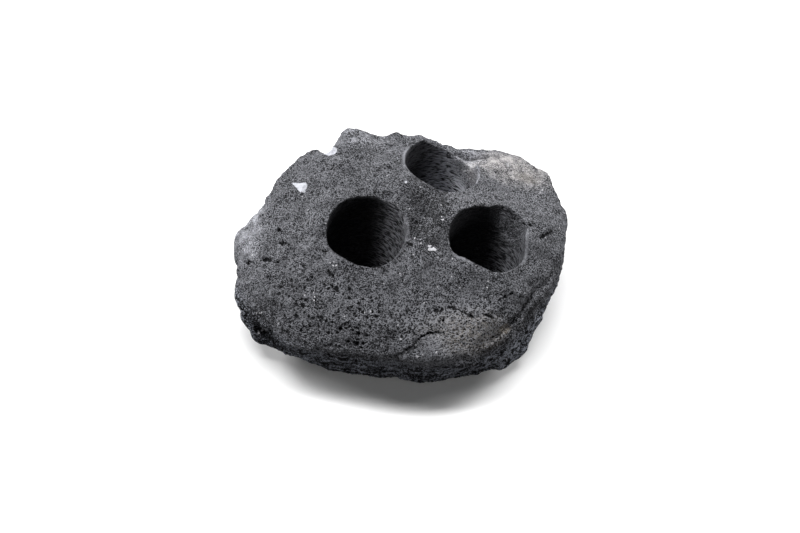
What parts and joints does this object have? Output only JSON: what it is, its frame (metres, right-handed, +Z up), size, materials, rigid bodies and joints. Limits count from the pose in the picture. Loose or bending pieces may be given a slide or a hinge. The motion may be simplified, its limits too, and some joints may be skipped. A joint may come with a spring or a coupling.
{
  "type": "lava rock",
  "caption": "Dark grey porous lava rock with round planting holes drilled from above, resting on a flattened underside.",
  "frame": {"origin": "bottom centre of the bounding box, on the surface the stone rests on", "axes": "+Z up, +X along the longest side, the broad undercut front faces -Y"},
  "size_m": [0.1692, 0.1402, 0.0724],
  "materials": {
    "lava_stone": "matt, finely porous, dusty in places"
  },
  "bodies": {
    "root": {"lava_rock": "lava_stone"}
  },
  "joints": []
}
